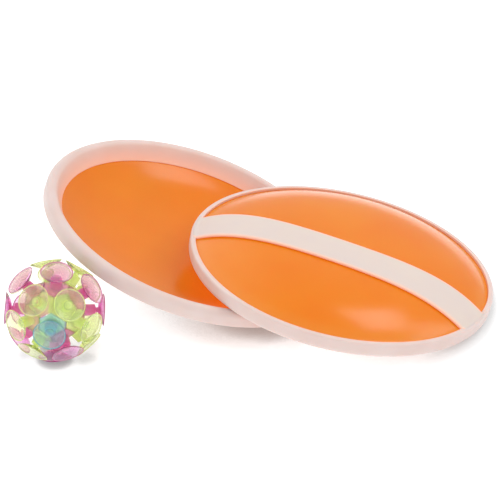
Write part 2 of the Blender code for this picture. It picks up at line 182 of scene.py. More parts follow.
class BallSizes(PropertyGroup):
    """Sizes of the suction cup ball."""
    radius: length("Ball radius", "From the middle to the cups' lips", 30.8)
    cup_radius: length("Cup radius", "Radius of a cup's lip", 9.6)
    cup_depth: length("Cup depth", "From a cup's lip to its neck", 4.0)
    lip: length("Lip thickness", "Thickness of a cup's lip", 0.4)
    web: length("Web thickness", "Thickness of the cup over its neck", 1.1)
    neck_radius: length("Neck radius", "Radius of the thin neck", 1.6)
    neck_length: length("Neck length", "Length of the thin neck", 1.3)
    stem_radius: length("Stem radius", "Radius of the stem", 3.4)
    stem_length: length("Stem length", "Length of the stem", 5.2)
    shoulder: length("Shoulder", "From the stem's side up to the neck", 0.8)
    flare: length("Flare", "From the tile's edge up to the stem", 0.9)
    tile: length("Tile thickness", "Thickness of a cup's foot", 1.6)
    tile_gap: length("Tile gap", "Between neighbouring tiles", 0.3)
    wave: length("Lip wave", "How far a soft lip waves up and down", 0.25)
    around: IntProperty(name="Steps around", description="Faces around one cup", default=48, min=12)


class SetColours(PropertyGroup):
    """Colours of the plastics and of the floor."""
    dish: tint("Dish", "Orange sheet of the dishes", "E17F17")
    # Also the colour of the painted glow in the hollow between the two dishes
    dish_deep_and_painted_glow: tint("Dish, thicker", "Orange where the sheet is a little thicker", "DF7712")
    # Painted light: the lighter orange of the sheet's last few millimetres, where the rim's milky foot lights it
    dish_edge: tint("Dish, edge", "Orange beside the rim", "E4882E")
    rim: tint("Rim", "Soft off-white of the rims", "DAC8C3")
    rim_warm: tint("Rim, warmer", "Off-white where it is a little thicker", "D6C0B9")
    # Painted orange bounce light from the dish, on the rims' thin edges and along the straps' edges
    peach_bounce: tint("Peach", "Off-white with the dish's orange showing through", "FCC3AA")
    strap: tint("Strap", "Soft off-white of the straps", "D7C8BE")
    strap_cool: tint("Strap, cooler", "Off-white of the straps' thinner places", "D5C6BF")
    lime: tint("Lime", "Lime of the cups' thick necks", "D2E27A")
    lime_thin: tint("Lime, thin", "Lime of the cups' thin skirts", "F4F9DE")
    magenta: tint("Magenta", "Magenta of the cups' thick necks", "C4007E")
    magenta_thin: tint("Magenta, thin", "Magenta of the cups' thin skirts", "F6EAF2")
    teal: tint("Teal", "Teal of the front cup's thick neck", "0894AE")
    teal_thin: tint("Teal, thin", "Teal of the front cup's thin skirt", "E6F5F8")
    floor: tint("Floor", "Opal floor before its own light is added", "808080")


class StudioSettings(PropertyGroup):
    """Camera and soft studio light."""
    distance: length("Camera distance", "From the camera to the point it aims at", 1400.0)
    elevation: angle("Camera elevation", "Height of the view over the floor", 31.07)
    lens: FloatProperty(name="Focal length", description="Focal length on a 36 mm sensor, in millimetres",
                        default=156.7, min=1.0, subtype="DISTANCE_CAMERA")
    key: power("Key light", "Power of the softbox on the right", 5.0)
    top: power("Top light", "Power of the small softbox overhead", 5.5)
    fill: power("Fill light", "Power of the wide softbox in front", 10.0)
    horizon: strength("Room light, low", "Strength of the pale room near the floor", 0.62)
    overhead: strength("Room light, high", "What its ceiling adds to that", 0.25)
    glow: strength("Bounce glow", "What the lit cloth behind on the left adds to that", 0.9)
    sweep: strength("Sweep light", "Light that comes up through the floor", 1.05)
    # Painted contact shadow: within these reaches of a piece the floor's own glow is dimmed
    contact: length("Contact reach", "How near the floor a piece darkens it", 15.0)
    hover: length("Hover reach", "How high above the floor a piece still shades it", 50.0)


# Node helpers

def add(tree, kind, feeds=None, **settings):
    """Adds a node with its settings. Feeds are values or other nodes' outputs, by input name or number."""
    made = tree.nodes.new(kind)
    for key, value in settings.items():
        setattr(made, key, value)
    for key, value in (feeds or {}).items():
        if isinstance(value, bpy.types.NodeSocket):
            tree.links.new(value, made.inputs[key])
        else:
            made.inputs[key].default_value = value
    return made


def new_tree(name, inputs):
    """A geometry tree with named inputs: returns it and what its input node gives."""
    tree = bpy.data.node_groups.new(name, "GeometryNodeTree")
    tree.interface.new_socket("Geometry", in_out="INPUT", socket_type="NodeSocketGeometry")
    for label, kind, default in inputs:
        socket = tree.interface.new_socket(label, in_out="INPUT", socket_type="NodeSocket" + kind)
        if default is not None:
            socket.default_value = default
        if kind == "Float":
            socket.subtype = "DISTANCE"
    tree.interface.new_socket("Geometry", in_out="OUTPUT", socket_type="NodeSocketGeometry")
    return tree, tree.nodes.new("NodeGroupInput").outputs


def close_tree(tree, geometry, finish):
    """Ends a tree: seams merged, instances made real, material set."""
    merged = add(tree, "GeometryNodeMergeByDistance", {"Geometry": geometry, "Distance": SEAM})
    real = add(tree, "GeometryNodeRealizeInstances", {"Geometry": merged.outputs[0]})
    painted = add(tree, "GeometryNodeSetMaterial", {"Geometry": real.outputs[0], "Material": finish})
    add(tree, "NodeGroupOutput", {"Geometry": painted.outputs[0]})


def stored(tree, geometry, name, value):
    """Keeps a value at each point of the mesh, for the materials to read."""
    return add(tree, "GeometryNodeStoreNamedAttribute", {"Geometry": geometry, "Name": name, "Value": value},
               data_type="FLOAT", domain="POINT").outputs[0]


def sampled(tree, geometry, value, index, kind):
    """A value as it is at another geometry's point of this index."""
    return add(tree, "GeometryNodeSampleIndex", {"Geometry": geometry, "Value": value, "Index": index},
               data_type=kind, domain="POINT").outputs[0]


def arithmetic(tree):
    """A short way to add maths nodes to this tree."""
    def maths(operation, *feeds):
        return add(tree, "ShaderNodeMath", dict(enumerate(feeds)), operation=operation).outputs[0]
    return maths


def ranged(tree, value, low, high, at_low, at_high, **settings):
    """Carries a value from one range over to another."""
    return add(tree, "ShaderNodeMapRange", {"Value": value, "From Min": low, "From Max": high,
                                            "To Min": at_low, "To Max": at_high}, **settings).outputs["Result"]


def mix(tree, kind, factor, first, second):
    """Blends two colours (RGBA) or two places (VECTOR)."""
    mixed = add(tree, "ShaderNodeMix", {"Factor": factor}, data_type=kind)
    ends = [socket for socket in mixed.inputs if socket.type == kind and socket.enabled]
    for socket, end in zip(ends, (first, second)):
        if isinstance(end, bpy.types.NodeSocket):
            tree.links.new(end, socket)
        else:
            socket.default_value = (*end, 1.0)
    return [socket for socket in mixed.outputs if socket.type == kind and socket.enabled][0]


def section_tree():
    """Turns a section outline once around Z.

    The outline's points lie in order in the XZ plane, with X measured from the paddle's
    outer face, so one tree makes rims and dishes of any radius.
    """
    tree, given = new_tree("turned_section", (
        ("Paddle Radius", "Float", 0.095), ("Steps Around", "Int", 168),
        ("Closed Outline", "Bool", True), ("Finish", "Material", None),
    ))
    maths = arithmetic(tree)
    size = add(tree, "GeometryNodeAttributeDomainSize", {"Geometry": given["Geometry"]}, component="MESH")
    count = size.outputs["Point Count"]
    rows = maths("ADD", count, given["Closed Outline"])
    columns = maths("ADD", given["Steps Around"], 1.0)
    grid = add(tree, "GeometryNodeMeshGrid", {"Vertices X": columns, "Vertices Y": rows})
    index = add(tree, "GeometryNodeInputIndex").outputs[0]
    below = maths("MODULO", maths("MODULO", index, rows), count)
    place = add(tree, "GeometryNodeInputPosition").outputs[0]
    outline = sampled(tree, given["Geometry"], place, below, "FLOAT_VECTOR")
    point = add(tree, "ShaderNodeSeparateXYZ", {0: outline}).outputs
    reach = maths("ADD", point["X"], given["Paddle Radius"])
    turn = maths("DIVIDE", maths("FLOOR", maths("DIVIDE", index, rows)), given["Steps Around"])
    spot = add(tree, "ShaderNodeCombineXYZ", {"X": reach, "Z": point["Z"]}).outputs[0]
    turned = add(tree, "ShaderNodeVectorRotate", {"Vector": spot, "Angle": maths("MULTIPLY", turn, 2 * math.pi)},
                 rotation_type="Z_AXIS").outputs[0]
    placed = add(tree, "GeometryNodeSetPosition", {"Geometry": grid.outputs["Mesh"], "Position": turned})
    # The painted bounce light of each outline point, carried round the section with it
    stated = add(tree, "GeometryNodeInputNamedAttribute", {"Name": "warmth"}, data_type="FLOAT").outputs[0]
    warmth = sampled(tree, given["Geometry"], stated, below, "FLOAT")
    close_tree(tree, stored(tree, placed.outputs[0], "warmth", warmth), given["Finish"])
    return tree


def cup_tree():
    """Grows one suction cup from the outline of its tile.

    The base mesh is one face, the tile's inner outline, in the cup's own frame with Z pointing
    out of the ball. Heights are distances from the ball's middle. The tile's sides run
    along rays from there. Above it the outline eases from the tile's corners into the round
    stem, and a section of curves carries it up the neck and round the thin cup.
    """
    heights = ("Tile Foot", "Tile Top", "Stem Foot", "Stem Top", "Neck Foot", "Neck Top", "Cup Lip")
    radii = ("Stem Radius", "Neck Radius", "Cup Radius")
    walls = ("Lip Thickness", "Web Thickness", "Lip Wave")
    tree, given = new_tree("suction_cup", tuple((name, "Float", 0.001) for name in heights + radii + walls) + (
        ("Steps Around", "Int", 48), ("Seed", "Int", 0), ("Finish", "Material", None),
    ))
    maths = arithmetic(tree)

    def spot(radius, height):
        return add(tree, "ShaderNodeCombineXYZ", {"X": radius, "Z": height}).outputs[0]

    # The section, from the stem's foot to the middle of the cup's hollow
    outer_lip = maths("SUBTRACT", given["Cup Lip"], given["Lip Thickness"])
    hollow = maths("ADD", given["Neck Top"], given["Web Thickness"])
    waist = maths("MULTIPLY", given["Neck Radius"], 0.82)
    middle = maths("MULTIPLY", maths("ADD", given["Neck Foot"], given["Neck Top"]), 0.5)
    bend = maths("MULTIPLY", given["Cup Radius"], 0.52)
    edge = maths("MULTIPLY", given["Cup Radius"], 0.985)
    stem, neck, cup = (given[name] for name in radii)
    path = (
        (None, spot(stem, given["Stem Top"])),
        (spot(stem, given["Neck Foot"]), spot(neck, given["Neck Foot"])),
        (spot(waist, middle), spot(neck, given["Neck Top"])),
        (spot(bend, given["Neck Top"]), spot(edge, outer_lip)),
        (spot(cup, outer_lip), spot(cup, given["Cup Lip"])),
        (spot(bend, hollow), spot(0.0, hollow)),
    )
    start = spot(stem, given["Stem Foot"])
    parts = []
    for handle, end in path:
        if handle is None:
            parts.append(add(tree, "GeometryNodeCurvePrimitiveLine", {"Start": start, "End": end}))
        else:
            parts.append(add(tree, "GeometryNodeCurveQuadraticBezier",
                             {"Resolution": 24, "Start": start, "Middle": handle, "End": end}))
        start = end
    section = add(tree, "GeometryNodeJoinGeometry")
    for part in reversed(parts):
        tree.links.new(part.outputs[0], section.inputs[0])

    # The tile's outline under each column of a grid
    around = given["Steps Around"]
    columns = maths("ADD", around, 1.0)
    index = add(tree, "GeometryNodeInputIndex").outputs[0]
    place = add(tree, "GeometryNodeInputPosition").outputs[0]

    def columns_of(rows):
        """A grid of these rows: its mesh, each point's row, and the outline's flat point below it."""
        grid = add(tree, "GeometryNodeMeshGrid", {"Vertices X": columns, "Vertices Y": rows})
        row = maths("MODULO", index, float(rows))
        column = maths("MODULO", maths("FLOOR", maths("DIVIDE", index, float(rows))), around)
        corner = sampled(tree, given["Geometry"], place, column, "FLOAT_VECTOR")
        flat = add(tree, "ShaderNodeVectorMath", {0: corner, 1: (1.0, 1.0, 0.0)}, operation="MULTIPLY").outputs[0]
        return grid.outputs["Mesh"], row, flat

    def scaled(vector, scale):
        return add(tree, "ShaderNodeVectorMath", {0: vector, "Scale": scale}, operation="SCALE").outputs[0]

    def unit(vector):
        return add(tree, "ShaderNodeVectorMath", {0: vector}, operation="NORMALIZE").outputs[0]

    def between(low, high, share):
        return maths("MULTIPLY_ADD", share, maths("SUBTRACT", high, low), low)

    def stood(mesh, flat, height, depth):
        """The grid's points over these flat places, at this height, with how deep the tint shows."""
        standing = add(tree, "ShaderNodeCombineXYZ", {"Z": height}).outputs[0]
        there = add(tree, "ShaderNodeVectorMath", {0: flat, 1: standing}, operation="ADD").outputs[0]
        placed = add(tree, "GeometryNodeSetPosition", {"Geometry": mesh, "Position": there}).outputs[0]
        return stored(tree, placed, "depth", depth)

    # Tile: foot from its middle to its edge, then out along the rays to its top
    mesh, row, flat = columns_of(3)
    widening = maths("DIVIDE", given["Tile Top"], given["Tile Foot"])
    rise = add(tree, "ShaderNodeClamp", {"Value": maths("SUBTRACT", row, 1.0)}).outputs[0]
    spread = maths("MINIMUM", row, 1.0)
    growth = maths("MULTIPLY", spread, maths("ADD", maths("MULTIPLY", rise, maths("SUBTRACT", widening, 1.0)), 1.0))
    tile = stood(mesh, scaled(flat, growth), between(given["Tile Foot"], given["Tile Top"], rise), FOOT_DEPTH)

    # Flare: the tile's top outline eases into the stem's circle
    flare_rows = 7
    mesh, row, flat = columns_of(flare_rows)
    share = maths("DIVIDE", row, flare_rows - 1.0)
    inward = maths("SUBTRACT", 1.0, maths("POWER", maths("SUBTRACT", 1.0, share), 1.6))
    eased = mix(tree, "VECTOR", inward, scaled(flat, widening), scaled(unit(flat), given["Stem Radius"]))
    climb = between(given["Tile Top"], given["Stem Foot"], maths("POWER", share, 1.8))
    flare = stood(mesh, eased, climb, between(FOOT_DEPTH, STEM_DEPTH, share))

    # Stem, neck and cup: the section swept round, its thin lip waving a little
    section_rows = 72
    mesh, row, flat = columns_of(section_rows)
    out = unit(flat)
    walked = add(tree, "GeometryNodeSampleCurve",
                 {"Curves": section.outputs[0], "Factor": maths("DIVIDE", row, section_rows - 1.0)},
                 mode="FACTOR", use_all_curves=True)
    point = add(tree, "ShaderNodeSeparateXYZ", {0: walked.outputs["Position"]}).outputs
    sides = add(tree, "ShaderNodeSeparateXYZ", {0: out}).outputs
    bearing = maths("ARCTAN2", sides["Y"], sides["X"])
    turn = maths("MULTIPLY", given["Seed"], 2.4)  # radians, so that no two cups wave alike
    swing = maths("SINE", maths("ADD", maths("MULTIPLY", bearing, 2.0), turn))
    reach = ranged(tree, point["X"], stem, cup, 0.0, 1.0)
    outward = maths("POWER", reach, 2.0)
    wave = maths("MULTIPLY", maths("MULTIPLY", swing, outward), given["Lip Wave"])
    lowered = maths("SUBTRACT", wave, maths("MULTIPLY", outward, given["Lip Wave"]))

    # How deep the tint shows: full in the neck, faint in the thin skirt, dark again on the lip line
    lip_line = ranged(tree, point["X"], maths("MULTIPLY", cup, 0.93),
                      maths("MULTIPLY", cup, 0.98), 0.0, 1.0)
    centre = ranged(tree, point["X"], 0.0, maths("MULTIPLY", neck, 1.8), WEB_DEPTH, 0.0)
    skirt = maths("MAXIMUM", lip_line, centre)
    shank = ranged(tree, point["Z"], given["Stem Foot"], given["Stem Top"], STEM_DEPTH, NECK_DEPTH)
    above = maths("GREATER_THAN", point["Z"], given["Neck Top"])
    below = maths("SUBTRACT", 1.0, above)
    depth = maths("ADD", maths("MULTIPLY", above, skirt), maths("MULTIPLY", below, shank))
    bell = stood(mesh, scaled(out, point["X"]), maths("ADD", point["Z"], lowered), depth)

    joined = add(tree, "GeometryNodeJoinGeometry")
    for part in (tile, flare, bell):
        tree.links.new(part, joined.inputs[0])
    close_tree(tree, joined.outputs[0], given["Finish"])
    return tree


# Mesh helpers

def stale(name):
    """Takes away an object of this name, so an operator can run again."""
    old = bpy.data.objects.get(name)
    if old:
        bpy.data.objects.remove(old, do_unlink=True)


def mesh_from(name, points, faces):
    mesh = bpy.data.meshes.new(name)
    mesh.from_pydata([tuple(p) for p in points], [], list(faces))
    mesh.update()
    return mesh


def linked(name, mesh):
    stale(name)
    made = bpy.data.objects.new(name, mesh)
    bpy.context.scene.collection.objects.link(made)
    return made


def evaluated(obj):
    """A plain mesh of the object with its modifiers applied."""
    graph = bpy.context.evaluated_depsgraph_get()
    graph.update()
    return bpy.data.meshes.new_from_object(obj.evaluated_get(graph), depsgraph=graph)


def settle(mesh, matrix, crease):
    """Places a mesh, points its faces outwards, and smooths it but for edges over crease degrees."""
    mesh.transform(matrix)
    bm = bmesh.new()
    bm.from_mesh(mesh)
    bmesh.ops.remove_doubles(bm, verts=bm.verts, dist=SEAM)
    bmesh.ops.dissolve_degenerate(bm, edges=bm.edges, dist=SEAM / 2)
    bmesh.ops.recalc_face_normals(bm, faces=bm.faces)
    if bm.calc_volume(signed=True) < 0:
        bmesh.ops.reverse_faces(bm, faces=bm.faces)
    bm.to_mesh(mesh)
    bm.free()
    mesh.shade_smooth()
    mesh.set_sharp_from_angle(angle=math.radians(crease))
    mesh.update()


def grown(name, base, tree, sizes):
    """Runs a geometry tree on a base mesh: returns the plain mesh it makes."""
    seedling = linked(name + "_base", base)
    modifier = seedling.modifiers.new(tree.name, "NODES")
    modifier.node_group = tree
    names = {item.name: item.identifier for item in tree.interface.items_tree if item.in_out == "INPUT"}
    for label, value in sizes.items():
        modifier[names[label]] = value
    mesh = evaluated(seedling)
    seedling.modifiers.remove(modifier)
    bpy.data.objects.remove(seedling, do_unlink=True)
    if not mesh.polygons:
        raise RuntimeError(name + ": its node tree made no faces")
    mesh.name = name
    return mesh


def piece(name, mesh, slot, *nodes):
    """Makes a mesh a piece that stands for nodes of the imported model."""
    made = linked(name, mesh)
    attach(made, "root")
    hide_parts(*nodes)
    return made


# Paddle sections: radius, and height from the back lip's plane towards the catching side

def arc(centre_r, centre_z, radius, start, end, count):
    angles = np.radians(np.linspace(start, end, count))
    return [(centre_r + radius * math.cos(a), centre_z + radius * math.sin(a)) for a in angles]


def edge_height(p):
    return p.lip_height + p.fit


def dish_edge(p):
    return p.radius - p.lip_width + p.groove - p.fit


def dome_radius(p):
    return dish_edge(p) - p.flange


def dome_back(p, r):
    """Height of the dish's back face at radius r."""
    share = min(r / dome_radius(p), 1.0)
    fall = p.dome_share * share ** 2 + (1.0 - p.dome_share) * share ** 4
    return edge_height(p) - (p.apex + edge_height(p)) * (1.0 - fall)


def dome_slope(p, r):
    step = 0.01 * MM
    return (dome_back(p, r) - dome_back(p, r - step)) / step


def dish_front_line(p):
    """Points of the catching face, from the middle out to the flat flange."""
    points = []
    for r in np.linspace(0.0, 0.975, 34) * dome_radius(p):
        slope = dome_slope(p, r) if r > 0 else 0.0
        lean = math.hypot(1.0, slope)
        points.append((r - p.sheet * slope / lean, dome_back(p, r) + p.sheet / lean))
    return points + [(dome_radius(p) - 0.45 * p.sheet, edge_height(p) + p.sheet)]


def dish_outline(p):
    """Section of the dish, from the middle of its back to the middle of its front."""
    back = [(r, dome_back(p, r)) for r in np.linspace(0.0, 1.0, 34) * dome_radius(p)]
    edge = dish_edge(p)
    nip = 0.25 * p.sheet
    sides = arc(edge - nip, edge_height(p) + nip, nip, -90, 0, 3)
    sides += arc(edge - nip, edge_height(p) + p.sheet - nip, nip, 0, 90, 3)
    return back + sides + dish_front_line(p)[::-1]


def rim_outline(p):
    """Section of the rim, closed: lip, outer face, crest, front slope, and the groove for the dish."""
    lip = p.radius - p.lip_width
    front = dish_front_line(p)
    foot = p.radius - p.rim_width
    lift = p.fit * math.hypot(1.0, dome_slope(p, dome_radius(p)))
    tip = float(np.interp(foot, [r for r, _ in front], [z for _, z in front])) + lift
    under = [(foot, tip)] + [(r, z + lift) for r, z in front if r > foot + 0.2 * MM]
    outline = [(lip, p.lip_height)]
    outline += arc(lip + p.lip_inner_round, p.lip_inner_round, p.lip_inner_round, 180, 270, 6)
    outline += arc(p.radius - p.lip_round, p.lip_round, p.lip_round, 270, 360, 8)
    outline += arc(p.radius - p.crest_round, p.rim_height - p.crest_round, p.crest_round, 0,
                   math.degrees(p.crest_end), 14)
    crest_end = outline[-1]
    slope_end = (foot + 0.35 * p.foot_edge, tip + p.foot_edge)
    for share in (0.25, 0.5, 0.75):
        sag = 0.2 * MM * math.sin(math.pi * share)
        outline.append((crest_end[0] + (slope_end[0] - crest_end[0]) * share,
                        crest_end[1] + (slope_end[1] - crest_end[1]) * share - sag))
    outline += [slope_end, (foot, tip + 0.6 * p.foot_edge)] + under
    return outline + [(lip + p.groove, under[-1][1]), (lip + p.groove, p.lip_height)]


def paddle_matrix(side):
    """From a paddle's own frame, Z towards its catching side, to where it lies."""
    lie = PADDLES[side]
    t = math.radians(lie["tilt"])
    a = math.radians(lie["fall"])
    down = Vector((math.cos(t) * math.cos(a), math.cos(t) * math.sin(a), -math.sin(t)))
    up = Vector((math.sin(t) * math.cos(a), math.sin(t) * math.sin(a), math.cos(t)))
    level = up.cross(down)
    axes = Matrix((down, lie["facing"] * level, lie["facing"] * up)).transposed().to_4x4()
    spin = Matrix.Rotation(math.radians(lie["spin"]), 4, "Z")
    return Matrix.Translation(Vector(lie["centre"]) * MM) @ axes @ spin


def with_painted_bounce(mesh, values):
    """Keeps at each point how much painted bounce light its tint takes there."""
    mesh.attributes.new("warmth", "FLOAT", "POINT").data.foreach_set("value", values)
    return mesh


def section_base(name, outline, p, warmth):
    """The outline as a mesh of points, X from the paddle's outer face."""
    mesh = mesh_from(name, [(r - p.radius, 0.0, z) for r, z in outline], ())
    return with_painted_bounce(mesh, [warmth(r, z) for r, z in outline])


def dish_painted_bounce(p):
    """The last few millimetres of the sheet before the rim, where the rim's milky foot lights it."""
    return lambda r, z: min(max((r / dome_radius(p) - 0.9) / 0.1, 0.0), 1.0)


def rim_painted_bounce(p):
    """Painted orange bounce light from the dish: strongest at the slope's thin foot and at the lip's inner edge,
    nothing on the outer face.
    """
    foot = p.radius - p.rim_width
    top = p.radius - p.crest_round

    def warmth(r, z):
        if z > p.rim_height - 2 * p.crest_round or r < p.radius - p.lip_width - 0.1 * MM:
            share = min(max((top - r) / (top - foot), 0.0), 1.0)
            return 0.04 + 0.96 * share ** 1.6 if r < top else 0.04 * (p.radius - r) / p.crest_round
        return min(max((p.radius - p.lip_round - r) / (p.lip_width - p.lip_round), 0.0), 1.0) * 0.35
    return warmth


def strap_grid(p, half_width, end_radius, thickness, across, along):
    """Rings across the strap, each once round its section, placed on the dome."""
    round_edge = min(p.strap_edge, 0.49 * thickness)
    section = arc(half_width - round_edge, thickness - round_edge, round_edge, 90, 0, 5)
    section += arc(half_width - round_edge, round_edge, round_edge, 0, -90, 5)
    lower = np.linspace(half_width - round_edge, -half_width + round_edge, across)[1:-1]
    section += [(side, 0.0) for side in lower]
    section += arc(-half_width + round_edge, round_edge, round_edge, 270, 180, 5)
    section += arc(-half_width + round_edge, thickness - round_edge, round_edge, 180, 90, 5)
    section += [(side, thickness) for side in lower[::-1]]
    rings = []
    for step in range(along + 1):
        share = math.sin(math.pi * (step / along - 0.5))
        ring = []
        for side, rise in section:
            y = side - p.strap_offset
            x = share * math.sqrt(end_radius ** 2 - y ** 2)
            ring.append((x, y, dome_back(p, math.hypot(x, y)) - edge_height(p) + rise))
        rings.append(ring)
    return rings


def ring_faces(first, rings, count):
    """The faces between this many rings of points, which follow on from the first point's number."""
    return [(low + i, low + (i + 1) % count, low + count + (i + 1) % count, low + count + i)
            for low in range(first, first + (rings - 1) * count, count) for i in range(count)]


def skin(name, rings):
    """Skins equal rings of points, and closes both ends with a strip across the band."""
    count = len(rings[0])
    faces = ring_faces(0, len(rings), count)
    for start in (0, (len(rings) - 1) * count):
        for i in range(count // 2 - 1):
            faces.append((start + i, start + i + 1, start + count - 2 - i, start + count - 1 - i))
    return mesh_from(name, [point for ring in rings for point in ring], faces)


def notch_cutter(side, p):
    """What the strap's ends take out of the rim's lip."""
    slack = 0.03 * MM
    half = 0.5 * p.strap_width + slack
    reach = p.radius - p.strap_end_wall + slack
    rings = []
    for turn in np.linspace(-90, 90, 41):
        share = math.sin(math.radians(turn))
        low = []
        high = []
        for step in np.linspace(-half, half, 9):
            y = step - p.strap_offset
            x = share * math.sqrt(reach ** 2 - y ** 2)
            sheet = dome_back(p, math.hypot(x, y)) + 0.5 * p.sheet
            low.append((x, y, -2 * p.apex))
            high.append((x, y, min(edge_height(p) - p.fit * 0.4, sheet)))
        rings.append(low + high[::-1])
    cutter = linked(side + "_notch_cutter", skin(side + "_notch_cutter", rings))
    settle(cutter.data, Matrix.Identity(4), 30)
    return cutter


# Plastics

def moulded(name, first, second, patch_mm, roughness, spread, grain_mm, bump_mm, constants, warm=None):
    """A moulded plastic: two close tints in soft patches, mottled gloss, and a fine relief.

    Where the mesh states painted bounce light, the tint turns towards the bounce tint: painted light bounced from a
    neighbouring part.
    """
    made = bpy.data.materials.new(name)
    made.use_nodes = True
    tree = made.node_tree
    shader = tree.nodes["Principled BSDF"]
    place = add(tree, "ShaderNodeTexCoord").outputs["Object"]

    def noise(size_mm, detail, roughness):
        """Noise whose patches are about this many millimetres across."""
        return add(tree, "ShaderNodeTexNoise", {"Vector": place, "Scale": 1.0 / (size_mm * MM), "Detail": detail,
                                                "Roughness": roughness}).outputs["Fac"]

    patches = add(tree, "ShaderNodeValToRGB", {"Fac": noise(patch_mm, 2.0, 0.45)})
    for mark, share, shade in zip(patches.color_ramp.elements, (0.3, 0.7), (first, second)):
        mark.position = share
        mark.color = (*shade, 1.0)
    colour = patches.outputs["Color"]
    if warm:
        colour = mix(tree, "RGBA", attribute(tree, "warmth"), colour, warm)
    tree.links.new(colour, shader.inputs["Base Color"])
    handling = noise(patch_mm * 0.4, 5.0, 0.6)
    gloss = ranged(tree, handling, 0.3, 0.7, roughness - spread, roughness + spread)
    tree.links.new(gloss, shader.inputs["Roughness"])
    grain = noise(grain_mm, 3.0, 0.5)
    relief = add(tree, "ShaderNodeBump", {"Height": grain, "Strength": 1.0, "Distance": bump_mm * MM})
    tree.links.new(relief.outputs["Normal"], shader.inputs["Normal"])
    for label, value in constants.items():
        shader.inputs[label].default_value = value
    return made


def attribute(tree, name):
    return add(tree, "ShaderNodeAttribute", attribute_name=name).outputs["Fac"]


def polystyrene_dish(c):
    """High-gloss injection-moulded polystyrene: deep orange, with long, slight flow ripples in its shine.

    Where the other pieces close it in, as in the hollow between the two dishes, the sheet glows a bright
    red-orange: painted glow for light bounced between them.
    """
    made = moulded("moulded_polystyrene_orange", c.dish, c.dish_deep_and_painted_glow, 45.0, 0.19, 0.03, 26.0, 0.02, {
        "IOR": 1.34, "Specular IOR Level": 0.42, "Subsurface Weight": 0.3,
        "Subsurface Radius": (1.0, 0.25, 0.05), "Subsurface Scale": 3.0 * MM,
        "Emission Color": (*c.dish_deep_and_painted_glow, 1.0),
    }, warm=c.dish_edge)
    # Painted glow: the sheet emits its deeper orange where ambient occlusion finds it closed in
    hollow = add(made.node_tree, "ShaderNodeAmbientOcclusion", {"Distance": 70.0 * MM}, samples=4)
    glow = ranged(made.node_tree, hollow.outputs["AO"], 0.1, 0.7, 0.42, 0.0)
    made.node_tree.links.new(glow, made.node_tree.nodes["Principled BSDF"].inputs["Emission Strength"])
    return made


def vinyl_rim(c):
    """Soft plasticised vinyl, injection moulded: milky off-white with a satin skin.

    Orange light bounced from the dish is painted as a peach tint on its thin edges: the slope's foot and the lip's
    inner edge.
    """
    return moulded("soft_vinyl_rim_white", c.rim, c.rim_warm, 20.0, 0.42, 0.06, 0.9, 0.02, {
        "IOR": 1.4, "Specular IOR Level": 0.3, "Subsurface Weight": 0.35,
        "Subsurface Radius": (1.0, 0.55, 0.4), "Subsurface Scale": 2.5 * MM,
    }, warm=c.peach_bounce)


def vinyl_strap(c):
    """The same soft vinyl in a thin band: greyer, less shiny, with a fine matt grain, and painted orange bounce
    light from the dome along its edges.
    """
    return moulded("soft_vinyl_strap_white", c.strap, c.strap_cool, 16.0, 0.52, 0.05, 0.7, 0.03, {
        "IOR": 1.4, "Specular IOR Level": 0.25, "Subsurface Weight": 0.2,
        "Subsurface Radius": (1.0, 0.6, 0.45), "Subsurface Scale": 2.0 * MM,
    }, warm=c.peach_bounce)


def clear_vinyl(name, thin, deep, edge_share, kept, density, glow):
    """Clear tinted soft vinyl, injection moulded: a wet shine over a tint that deepens with thickness.

    Light keeps only one colour on its way through. The thick neck glows in its tint, a painted glow
    that keeps it bright, and the cut edge of a lip, which is seen end on, is darkest.
    """
    made = moulded("clear_soft_vinyl_" + name, thin, [0.96 * channel for channel in thin],
                   6.0, 0.05, 0.02, 4.0, 0.002, {
                       "IOR": 1.12, "Coat Roughness": 0.04, "Subsurface Weight": 1.0,
                       "Subsurface Radius": (1.0, 1.0, 1.0), "Subsurface Scale": 1.2 * MM,
                   })
    tree = made.node_tree
    shader = tree.nodes["Principled BSDF"]
    pale = shader.inputs["Base Color"].links[0].from_socket
    depth = attribute(tree, "depth")
    tinted = mix(tree, "RGBA", depth, pale, deep)
    end_on = ranged(tree, depth, NECK_DEPTH, 1.0, 0.0, 1.0)
    tinted = mix(tree, "RGBA", end_on, tinted, [edge_share * channel for channel in deep])
    tree.links.new(tinted, shader.inputs["Base Color"])
    tree.links.new(tinted, shader.inputs["Emission Color"])
    # Emission is painted glow: none in the thin skirt, strongest in the thick neck
    for label, thinnest, thickest in (("Transmission Weight", 0.9, 0.3), ("Coat Weight", 0.5, 0.05),
                                      ("Emission Strength", 0.0, glow)):
        tree.links.new(ranged(tree, depth, 0.0, 1.0, thinnest, thickest), shader.inputs[label])
    absorption = add(tree, "ShaderNodeVolumeAbsorption", {"Color": (*kept, 1.0), "Density": density})
    output = [n for n in tree.nodes if n.type == "OUTPUT_MATERIAL"][0]
    tree.links.new(absorption.outputs[0], output.inputs["Volume"])
    return made


# Operators

